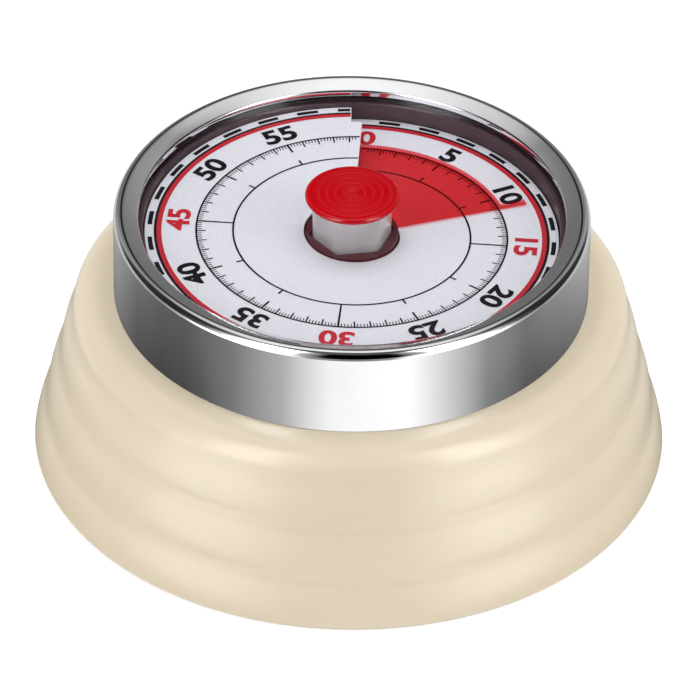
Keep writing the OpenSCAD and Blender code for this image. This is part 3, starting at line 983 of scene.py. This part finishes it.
@dataclass
class Dial:
    """The white spiral dial, slit at zero, its printing and the dark cup that it lies in."""

    spiral: SpiralSheet = field(default_factory=SpiralSheet)
    hole_r: float = 5.3
    rim_r: float = 22.75
    cut_r: float = 20.0
    start: float = -5.0
    end: float = 358.2
    cut_end: float = 354.8
    thickness: float = 0.3
    lift: float = 0.03
    cup_hole: float = 5.15
    cup_r: float = 23.7
    cup_in: float = 22.95
    cup_z: float = 23.4
    cup_floor: float = 0.8
    cup_top: float = 28.8
    inner_ring: float = 13.05
    inner_width: float = 0.21
    inner_reach: float = 0.85
    minute_ring: float = 17.1
    minute_width: float = 0.2
    ring_ends: Pair = (-1.5, 357.9)
    red_ring: Pair = (21.18, 0.54)
    rim_ring: Pair = (21.6, 0.3)
    rim_ends: Pair = (-4.8, 354.6)
    dash: Pair = (22.22, 0.5)
    dash_half: float = 3.1
    dash_end: float = 354.5
    fifth: float = 1.2
    fine_tick: Pair = (0.6, 0.1)
    minute_tick: Pair = (1.05, 0.17)
    five_tick: Pair = (1.5, 0.23)
    tick_end: float = 357.5
    figure_r: float = 19.15
    figure_h: float = 2.6
    figure_w: float = 1.16
    figure_weight: float = 0.034
    black_figures: tuple[int, ...] = (5, 10, 20, 25, 35, 40, 50, 55)
    red_figures: tuple[int, ...] = (0, 15, 30, 45)

    def sheet(self) -> BMesh:
        """The dial's own sheet.

        Returns:
            The solid sheet.
        """
        mesh = bmesh.new()
        line = self.spiral.radial(mesh, self.start, [self.hole_r, self.cut_r, self.rim_r], 0)
        last = self.spiral.sweep(mesh, line, self.start, self.cut_end)
        between = (self.cut_r + self.rim_r) / 2 * MM
        verts = [vert for vert in verts_of(last) if vert.co.xy.length < between]
        edges = [g for g in last if isinstance(g, bmesh.types.BMEdge)]
        inner = verts + [edge for edge in edges if all(vert in verts for vert in edge.verts)]
        self.spiral.sweep(mesh, inner, self.cut_end, self.end)
        self.spiral.thicken(mesh, self.thickness)
        return mesh

    def ring(self, mesh: BMesh, radius: float, width: float, start: float, end: float) -> None:
        """Adds a printed ring or dash round a middle radius, between two clockwise angles."""
        radii = [radius - width / 2, radius + width / 2]
        self.spiral.sweep(mesh, self.spiral.radial(mesh, start, radii, self.lift), start, end)

    def tick(self, mesh: BMesh, angle: float, low: float, high: float, width: float) -> None:
        """Adds a printed radial tick.

        Args:
            mesh: The mesh that it goes into.
            angle: Its clockwise angle.
            low: Its inner radius.
            high: Its outer radius.
            width: Its width.
        """
        half = math.degrees(width / (low + high))
        line = self.spiral.radial(mesh, angle - half, [low, high], self.lift)
        self.spiral.sweep(mesh, line, angle - half, angle + half)

    def figure(self, minute: int) -> bpy.types.Mesh:
        """A printed number, its top outwards, lying on the spiral.

        Args:
            minute: The number.

        Returns:
            The number's faces.
        """
        curve = bpy.data.curves.new("figure", "FONT")
        curve.body = str(minute)
        curve.align_x = "CENTER"
        curve.offset = self.figure_weight
        holder = bpy.data.objects.new("figure", curve)
        bpy.context.scene.collection.objects.link(holder)
        graph = bpy.context.evaluated_depsgraph_get()
        flat = bpy.data.meshes.new_from_object(holder.evaluated_get(graph))
        bpy.data.objects.remove(holder)
        bpy.data.curves.remove(curve)
        xs, ys = ([vert.co[axis] for vert in flat.vertices] for axis in (0, 1))
        size = self.figure_h * MM / (max(ys) - min(ys))
        centre = Vector(((max(xs) + min(xs)) / 2, (max(ys) + min(ys)) / 2, 0))
        slope = math.atan(self.spiral.pitch / (math.tau * self.figure_r))
        angle = MINUTE * minute
        height = self.spiral.height(angle) + self.lift
        flat.transform(Matrix.Rotation(-math.radians(angle), 4, "Z")
                       @ Matrix.Translation((0, self.figure_r * MM, height * MM))
                       @ Matrix.Rotation(-slope, 4, "Y")
                       @ Matrix.Diagonal((size * self.figure_w, size, size, 1))
                       @ Matrix.Translation(-centre))
        return flat

    def figures(self, minutes: tuple[int, ...]) -> BMesh:
        """Several numbers in one mesh.

        Args:
            minutes: The numbers.

        Returns:
            All their faces.
        """
        together = bmesh.new()
        for minute in minutes:
            flat = self.figure(minute)
            together.from_mesh(flat)
            bpy.data.meshes.remove(flat)
        self.spiral.face_up(together)
        return together

    def marks(self) -> BMesh:
        """The black rings, ticks and dashes.

        Returns:
            All their faces.
        """
        mesh = bmesh.new()
        self.ring(mesh, self.inner_ring, self.inner_width, *self.ring_ends)
        self.ring(mesh, self.minute_ring, self.minute_width, *self.ring_ends)
        self.ring(mesh, *self.rim_ring, *self.rim_ends)
        for step in range(1, 300):
            minute, fine = divmod(step, 5)
            whole = self.minute_tick if minute % 5 else self.five_tick
            length, width = self.fine_tick if fine else whole
            if step * self.fifth < self.tick_end:
                low = self.minute_ring - length
                self.tick(mesh, step * self.fifth, low, self.minute_ring, width)
        for minute in range(5, 60, 5):
            reach = self.inner_ring + self.inner_reach if minute % 15 else self.minute_ring
            self.tick(mesh, MINUTE * minute, self.inner_ring, reach, self.inner_width)
        for middle in range(MINUTE, 360, 2 * MINUTE):
            end = min(middle + self.dash_half, self.dash_end)
            self.ring(mesh, *self.dash, middle - self.dash_half, end)
        self.spiral.face_up(mesh)
        return mesh

    def build(self) -> None:
        """Makes the dial, its printing and its cup."""
        white = PrintFinish("dial_sheet_white", from_srgb(232, 232, 239), from_srgb(224, 224, 232),
                            grain=0.3).build()
        make_piece(self.sheet(), "dial_sheet", Body.CASE, white, ("dial",), sharp=30.0)
        black = PrintFinish("ink_black", from_srgb(24, 23, 27), from_srgb(14, 13, 16),
                            grain=0.15, gloss=0.1).build()
        red = PrintFinish("ink_red", from_srgb(204, 28, 46), from_srgb(188, 20, 38),
                          grain=0.15, gloss=0.25).build()
        ring = bmesh.new()
        self.ring(ring, *self.red_ring, *self.rim_ends)
        self.spiral.face_up(ring)
        for mesh, name, ink in (
            (self.marks(), "dial_marks", black),
            (ring, "dial_red_ring", red),
            (self.figures(self.black_figures), "dial_figures_black", black),
            (self.figures(self.red_figures), "dial_figures_red", red),
        ):
            make_piece(mesh, name, Body.CASE, ink)
        dark = MouldedFinish("cup_maroon", from_srgb(78, 56, 62), from_srgb(60, 42, 48),
                             rough=(0.3, 0.45), skin=0.4, skin_depth=0.006).build()
        floor = self.cup_z + self.cup_floor
        cup = Outline(self.cup_hole, self.cup_z).line(
            (self.cup_r, self.cup_z), (self.cup_r, self.cup_top), (self.cup_in, self.cup_top),
            (self.cup_in, floor), (self.cup_hole, floor))
        make_piece(cup.close().soften(width=0.12).turned(steps=160), "dial_cup_dark", Body.CASE,
                   dark, ("dial_cup",))
        dress(("dial_ramp",), dark)


@dataclass
class TimeDisc:
    """The red film that shows the time left, its pointer strip and its collar on the stem."""

    spiral: SpiralSheet = field(default_factory=SpiralSheet)
    rest: float = 67.2
    span: float = 352.0
    inner_r: float = 5.12
    outer_r: float = 17.5
    pointer_r: float = 20.3
    strip: float = 2.4
    gap: float = 0.15
    thickness: float = 0.15
    near: float = 0.1
    hair: float = 0.001
    collar_r: float = 5.1
    collar_low: float = 25.88
    collar_top: float = 27.9
    hex_r: float = 4.75
    hex_turn: float = 14.0

    def film(self) -> BMesh:
        """The film with its strip.

        Returns:
            The solid film.
        """
        mesh = bmesh.new()
        lift = self.gap + self.thickness
        start, strip = self.rest - self.span, self.rest - self.strip
        line = self.spiral.radial(mesh, start, [self.inner_r, self.outer_r], lift)
        last = self.spiral.sweep(mesh, line, start, strip)
        self.spiral.sweep(mesh, last, strip, self.rest)
        away, height = self.outer_r - self.near, self.spiral.height(strip) + lift - self.hair
        ahead = [edge for edge in mesh.edges if edge.is_boundary
                 and all(v.co.xy.length > away * MM and v.co.z > height * MM for v in edge.verts)]
        grown = bmesh.ops.extrude_edge_only(mesh, edges=ahead)
        factor = self.pointer_r / self.outer_r
        bmesh.ops.scale(mesh, vec=(factor, factor, 1), verts=verts_of(grown["geom"]))
        self.spiral.thicken(mesh, self.thickness)
        return mesh

    def collar(self) -> BMesh:
        """The collar with its six-sided hole.

        Returns:
            The solid collar.
        """
        mesh = bmesh.new()
        outer = bmesh.ops.create_circle(mesh, segments=72, radius=self.collar_r * MM)["verts"]
        bmesh.ops.translate(mesh, verts=outer, vec=(0, 0, self.collar_low * MM))
        hexagon(mesh, self.hex_r, self.hex_turn, self.collar_low, False)
        bmesh.ops.triangle_fill(mesh, use_beauty=True, edges=mesh.edges[:])
        draw_up(mesh, self.collar_top - self.collar_low)
        return mesh

    def build(self) -> None:
        """Makes the film and its collar."""
        red = FilmFinish("film_red", from_srgb(222, 36, 44), from_srgb(212, 30, 38),
                         tint=(1.0, 0.47, 0.49, 1), cover=0.06).build()
        make_piece(self.film(), "time_film", Body.DISC, red, ("red_disc",), sharp=30.0)
        # The collar is the film's red painted in shade, dark maroon, standing in for the shadowed
        # hole round the stem.
        dark = MouldedFinish("collar_red_painted_shade", from_srgb(92, 26, 38), from_srgb(74, 20, 30),
                             rough=(0.3, 0.42), skin=0.3).build()
        make_piece(self.collar(), "film_collar", Body.DISC, dark, ("disc_collar",),
                   sharp=25.0)


@dataclass
class Knob:
    """The red button with its raised rings, on a milky six-sided stem."""

    radius: float = 5.2
    top: float = 33.2
    thick: float = 0.8
    spigot: Pair = (2.0, 1.0)
    edge: float = 0.35
    edge_turn: float = 155.0
    sunk: float = 0.14
    face: float = 0.9
    rings: tuple[float, ...] = (0.76, 0.58, 0.40, 0.22)
    ring_out: float = 0.07
    ring_in: float = 0.05
    ring_rise: float = 0.04
    dimple: float = 0.09
    dimple_z: float = 0.2
    dimple_rise: float = -0.03
    stem_r: float = 4.65
    stem_low: float = 24.6
    stem_top: float = 32.3
    stem_turn: float = 14.0
    stem_round: float = 0.95

    def button(self) -> BMesh:
        """The turned button.

        Returns:
            The solid.
        """
        low, face = self.top - self.thick, self.top - self.sunk
        width, drop = self.spigot
        edge = self.radius - self.edge
        section = Outline(0, low - drop).line((width, low - drop), (width, low), (edge, low))
        section.swing(edge, low + self.edge, self.edge_turn, steps=8)
        section.line((self.face * self.radius, face))
        for away in self.rings:
            section.line(((away + self.ring_out) * self.radius, face))
            section.bulge((away - self.ring_in) * self.radius, face, self.ring_rise, steps=5)
        section.line((self.dimple * self.radius, face))
        return section.bulge(0, self.top - self.dimple_z, self.dimple_rise, 3).turned(steps=128)

    def stem(self) -> BMesh:
        """The six-sided stem.

        Returns:
            The solid.
        """
        mesh = bmesh.new()
        hexagon(mesh, self.stem_r, self.stem_turn, self.stem_low, True)
        draw_up(mesh, self.stem_top - self.stem_low)
        upright = [e for e in mesh.edges if abs(e.verts[0].co.z - e.verts[1].co.z) > MM]
        round_edges(mesh, upright, self.stem_round, segments=6)
        return mesh

    def build(self) -> None:
        """Makes the button and the stem."""
        red = MouldedFinish("button_red", from_srgb(192, 4, 20), from_srgb(182, 3, 16),
                            rough=(0.08, 0.13), skin=0.6, skin_depth=0.001,
                            gloss=0.4).build()
        make_piece(self.button(), "knob_button", Body.KNOB, red, ("knob_cap",),
                   sharp=45.0)
        clear = AcrylicFinish("stem_acrylic", (1.0, 0.97, 0.99, 1), (0.9, 0.873, 0.891, 1),
                              rough=(0.12, 0.22), clear=0.6).build()
        make_piece(self.stem(), "knob_shank", Body.KNOB, clear, ("knob_stem",),
                   sharp=20.0)


@dataclass
class HammerLeaf:
    """The leaf that presses the hammer's tail: a stud holds one end, the tail bends the other."""

    turn: float = -80.15
    away: float = 7.41
    height: float = 8.1
    slant: float = 0.07
    size: Point = (0.2, 10.0, 0.6)
    edge: float = 0.05
    cuts: int = 32
    held: float = 4.4
    free: float = 1.3

    def lengthwise(self, mesh: BMesh) -> list[bmesh.types.BMEdge]:
        """The edges that run along the leaf."""
        return [e for e in mesh.edges if abs(e.verts[0].co.y - e.verts[1].co.y) > MM]

    def build(self, finish: Material) -> None:
        """Makes the leaf.

        Args:
            finish: Its material.
        """
        mesh = bmesh.new()
        bmesh.ops.create_cube(mesh, size=MM)
        bmesh.ops.scale(mesh, verts=mesh.verts[:], vec=self.size)
        round_edges(mesh, self.lengthwise(mesh), self.edge, segments=3)
        bmesh.ops.subdivide_edges(mesh, edges=self.lengthwise(mesh), cuts=self.cuts)
        lean = Matrix(((1, self.slant, 0, 0), (0, 1, 0, 0), (0, 0, 1, 0), (0, 0, 0, 1)))
        place = (Matrix.Rotation(math.radians(self.turn), 4, "Z")
                 @ Matrix.Translation(Vector((self.away, 0, self.height)) * MM) @ lean)
        bmesh.ops.transform(mesh, matrix=place, verts=mesh.verts[:])
        start, end = (place @ Vector((0, along * MM, 0)) for along in (self.held, self.free))
        make_piece(mesh, "hammer_leaf", Body.CASE, finish, ("hammer_spring",),
                   sharp=40.0, bend=Bend(Body.HAMMER, start, end))


class Movement:
    """The clockwork and the underside, whose CAD solids show as they are, with new finishes."""

    STEEL = ("main_arbor", "second_arbor", "third_arbor", "escape_arbor", "pallet_arbor",
             "spring_post", "pillars", "hammer_stud", "spring_stud")
    BRASS = ("main_wheel", "arbor_collar", "strike_cam", "second_wheel", "third_wheel",
             "escape_wheel", "balance_bar", "upper_plate", "lower_plate")
    SPRINGS = ("clutch_spring", "mainspring")
    PRESSED = ("bell", "hammer", "pallet")
    SCREWS = ("pillar_screws", "movement_screws", "bell_screw", "cover_screws")

    def build(self) -> None:
        """Dresses every node of the movement and the underside, and makes the hammer's leaf."""
        dress(self.STEEL, MetalFinish("shaft_steel", (0.62, 0.63, 0.65, 1), (0.5, 0.5, 0.52, 1),
                                      rough=(0.22, 0.38)).build())
        dress(self.BRASS, MetalFinish("stamped_brass", (0.78, 0.58, 0.24, 1),
                                      (0.62, 0.44, 0.18, 1), rough=(0.25, 0.42), lines=0.2,
                                      turned=False).build())
        blued = MetalFinish("spring_blued", (0.22, 0.24, 0.32, 1), (0.14, 0.15, 0.2, 1),
                            rough=(0.25, 0.4), lines=0.15, turned=False).build()
        dress(self.SPRINGS, blued)
        HammerLeaf().build(blued)
        dress(self.PRESSED, MetalFinish("pressed_steel", (0.68, 0.69, 0.71, 1),
                                        (0.56, 0.57, 0.6, 1), rough=(0.2, 0.34),
                                        lines=0.25).build())
        dress(self.SCREWS, MetalFinish("zinc_screws", (0.6, 0.6, 0.58, 1), (0.46, 0.46, 0.45, 1),
                                       rough=(0.28, 0.45), lines=0.2, turned=False).build())
        dress(("back_cover",), MouldedFinish("cover_black", from_srgb(46, 46, 48),
                                             from_srgb(36, 36, 38), rough=(0.45, 0.6),
                                             skin=0.35, skin_depth=0.012).build())


@dataclass(frozen=True)
class Lamp:
    """A soft lamp that looks at the timer. Its place and size are in metres."""

    name: str
    place: Point
    size: Pair
    power: float
    aim: Point = (0, 0, 0.015)

    def build(self) -> None:
        """Makes the lamp."""
        light = bpy.data.lights.new(self.name, "AREA")
        light.shape = "RECTANGLE"
        light.size, light.size_y = self.size
        light.energy = self.power
        lamp = bpy.data.objects.new(self.name, light)
        lamp.location = self.place
        way = Vector(self.aim) - Vector(self.place)
        lamp.rotation_euler = way.to_track_quat("-Z", "Y").to_euler()
        lamp.visible_glossy = False
        bpy.context.scene.collection.objects.link(lamp)


@dataclass(frozen=True)
class Dome:
    """The greys of the dome that the bezel's edge, the lens and the cap mirror, in metres."""

    greys: Greys = ((0, 0.0), (17, 0.0), (28, 0.6), (36, 5.0), (54, 5.0), (63, 0.8), (74, 0.1),
                    (90, 0.02), (126, 0.04), (139, 0.38), (147, 0.32), (154, 0.23), (162, 0.18),
                    (179, 0.17))
    crown: Pair = (1.85, 2.0)
    crown_grey: float = 0.1
    box_way: Point = (0, 0.089, 0.446)
    box_reach: Pair = (0.84, 1.0)
    box_slope: float = 0.6
    box_edge: Pair = (0.2, 0.4)
    box_grey: float = 1.13
    spot_way: Point = (0, 0.361, 0.276)
    spot_reach: Pair = (0.985, 0.995)
    spot_grey: float = 0.01

    def build(self) -> Material:
        """The material: a fan of greys with a dim crown, a softbox overhead and a dark spot.

        Returns:
            The material.
        """
        shader = Shader("dome_card")
        crown = shader.mixed(shader.remap(shader.axis("Z"), *self.crown),
                             shader.fan(self.greys, (-1, 1)), grey(self.crown_grey))
        wide = shader.math("ABSOLUTE", shader.axis("X"))
        edge = shader.math("MULTIPLY_ADD", wide, self.box_slope, shader.axis("Y"))
        box = shader.math("MULTIPLY", shader.remap(shader.along(self.box_way), *self.box_reach),
                          shader.remap(edge, *self.box_edge))
        spot = shader.remap(shader.along(self.spot_way), *self.spot_reach)
        lit = shader.mixed(box, crown, grey(self.box_grey))
        return shader.finish(shader.glow(Color=shader.mixed(spot, lit, grey(self.spot_grey))))


@dataclass
class Studio:
    """The pale floor, the surround, the lamps, the camera, and cards that only mirrors see."""

    azimuth: float = 4.5
    elevation: float = 37.34
    distance: float = 800.0
    aim_z: float = 11.48
    roll: float = 0.9
    lens: float = 370.0
    glow: float = 0.42
    floor_tone: float = 0.8
    floor_hole: float = 34.4
    floor_r: float = 4000.0
    ambient: float = 0.66
    ring_z: float = -30.0
    ring_radii: Pair = (50.0, 140.0)
    ring_fade: Pair = (0.076, 0.109)  # In metres.
    ring_greys: Greys = ((-178, 0.6), (-138, 0.5), (-110, 0.21), (-90, 0.13), (-75, 0.12),
                         (-50, 0.23), (-28, 0.52), (-8, 1.1), (24, 1.25), (42, 0.76), (60, 0.32),
                         (82, 0.2), (110, 0.36), (140, 0.7))
    foot_greys: Greys = ((-178, 0.2), (-138, 0.15), (-110, 0.04), (-90, 0.03), (-65, 0.06),
                         (-28, 0.44), (-8, 1.1), (24, 1.25), (42, 0.72), (62, 0.18), (90, 0.02),
                         (125, 0.06), (150, 0.15))
    tent_r: float = 350.0
    tent_heights: Pair = (-250.0, 30.0)
    tent_greys: Greys = ((0, 0.25), (18, 0.35), (34, 2.3), (46, 3.0), (62, 2.6), (76, 0.6),
                         (90, 0.3), (120, 0.6), (179, 0.8))
    dome_r: float = 2200.0
    dome_turn: float = 5.0
    lamps: tuple[Lamp, ...] = (
        Lamp("overhead_softbox", place=(0.0, 0.28, 0.85), size=(0.7, 0.5), power=2.6),
        Lamp("left_softbox", place=(-0.75, -0.38, 0.3), size=(0.5, 0.5), power=2.2),
        Lamp("right_softbox", place=(0.78, -0.3, 0.3), size=(0.5, 0.5), power=2.0),
    )

    def camera(self) -> None:
        """Places the camera as the photograph's."""
        turn, lift = math.radians(self.azimuth), math.radians(self.elevation)
        back = Vector((math.sin(turn) * math.cos(lift), -math.cos(turn) * math.cos(lift),
                       math.sin(lift)))
        data = bpy.data.cameras.new("camera")
        data.lens = self.lens
        data.sensor_width = 36
        data.clip_start, data.clip_end = 0.01, 20
        camera = bpy.data.objects.new("camera", data)
        look = (-back).to_track_quat("-Z", "Y").to_matrix().to_4x4()
        place = Vector((0, 0, self.aim_z * MM)) + back * self.distance * MM
        roll = Matrix.Rotation(math.radians(self.roll), 4, "Z")
        camera.matrix_world = Matrix.Translation(place) @ look @ roll
        bpy.context.scene.collection.objects.link(camera)
        bpy.context.scene.camera = camera

    def seen(self, tree: bpy.types.NodeTree) -> Socket:
        """One for rays from the camera, a mirror or glass, nothing for light on the timer.

        Args:
            tree: The node tree that it goes into.

        Returns:
            The value.
        """
        path = tree.nodes.new("ShaderNodeLightPath")
        total: Socket = path.outputs["Is Camera Ray"]
        for name in ("Is Glossy Ray", "Is Transmission Ray"):
            either = tree.nodes.new("ShaderNodeMath")
            either.operation = "MAXIMUM"
            tree.links.new(total, either.inputs[0])
            tree.links.new(path.outputs[name], either.inputs[1])
            total = either.outputs[0]
        return total

    def floor(self) -> None:
        """Makes the pale floor, open under the timer and clear from below to show its underside."""
        shader = Shader("pale_floor")
        matt = shader.add("ShaderNodeBsdfDiffuse", {"Color": grey(self.floor_tone)}).outputs[0]
        glow = shader.glow(Strength=shader.math("MULTIPLY", self.seen(shader.tree), self.glow))
        both = shader.add("ShaderNodeAddShader", {0: matt, 1: glow}).outputs[0]
        below = shader.add("ShaderNodeNewGeometry", {}).outputs["Backfacing"]
        finish = shader.layered(below, both, shader.clear(grey(1.0)))
        mesh = Outline(self.floor_hole, 0).line((self.floor_r, 0)).turned(steps=128)
        bmesh.ops.reverse_faces(mesh, faces=[face for face in mesh.faces if face.normal.z < 0])
        floor = add_object(mesh, "floor", finish)
        floor.visible_glossy = False

    def card(self, name: str, section: Outline, finish: Material, turn: float = 0.0) -> None:
        """Makes a card round the timer that only mirrors see, so that it shades nothing.

        Args:
            name: Its name.
            section: Its section, which is turned round the axis.
            finish: Its material.
            turn: Its angle from the camera.
        """
        card = add_object(section.turned(steps=96), name, finish)
        card.rotation_euler = (0, 0, math.radians(self.azimuth + turn))
        card.visible_camera = False
        card.visible_diffuse = False
        card.visible_transmission = False
        card.visible_volume_scatter = False
        card.visible_shadow = False

    def cards(self) -> None:
        """Makes the ring that the drum's wall mirrors, the shell's tent and the dome over both."""
        shader = Shader("floor_card")
        fade = shader.remap(shader.length(shader.place()), *self.ring_fade)
        fans = [shader.fan(greys, (1,)) for greys in (self.foot_greys, self.ring_greys)]
        ring = Outline(self.ring_radii[0], self.ring_z).line((self.ring_radii[1], self.ring_z))
        self.card("floor_card", ring, shader.finish(shader.glow(Color=shader.mixed(fade, *fans))))
        shader = Shader("tent_card")
        tent = Outline(self.tent_r, self.tent_heights[0]).line((self.tent_r, self.tent_heights[1]))
        glow = shader.glow(Color=shader.fan(self.tent_greys, (-1, 1)))
        self.card("tent_card", tent, shader.finish(glow))
        dome = Outline(self.dome_r, 0).swing(0, 0, turn=90, steps=24)
        self.card("dome_card", dome, Dome().build(), self.dome_turn)

    def surround(self) -> None:
        """Makes the white surround: full white where it is seen, dimmer as a light."""
        world = bpy.data.worlds.new("surround")
        world.use_nodes = True
        bpy.context.scene.world = world
        tree = world.node_tree
        back = tree.nodes["Background"]
        back.inputs["Color"].default_value = grey(1.0)
        level = tree.nodes.new("ShaderNodeMapRange")
        tree.links.new(self.seen(tree), level.inputs["Value"])
        level.inputs["To Min"].default_value = self.ambient
        level.inputs["To Max"].default_value = 1.0
        tree.links.new(level.outputs["Result"], back.inputs["Strength"])

    def build(self) -> None:
        """Makes the whole stage."""
        bpy.context.scene.view_settings.view_transform = "Standard"
        self.camera()
        self.floor()
        self.cards()
        self.surround()
        for lamp in self.lamps:
            lamp.build()


def main() -> None:
    """Builds the timer and its stage."""
    logging.basicConfig(level=logging.INFO, format="%(name)s: %(message)s")
    Studio().build()
    Shell().build()
    Bezel().build()
    Dial().build()
    TimeDisc().build()
    Knob().build()
    Movement().build()


if __name__ == "__main__":
    main()
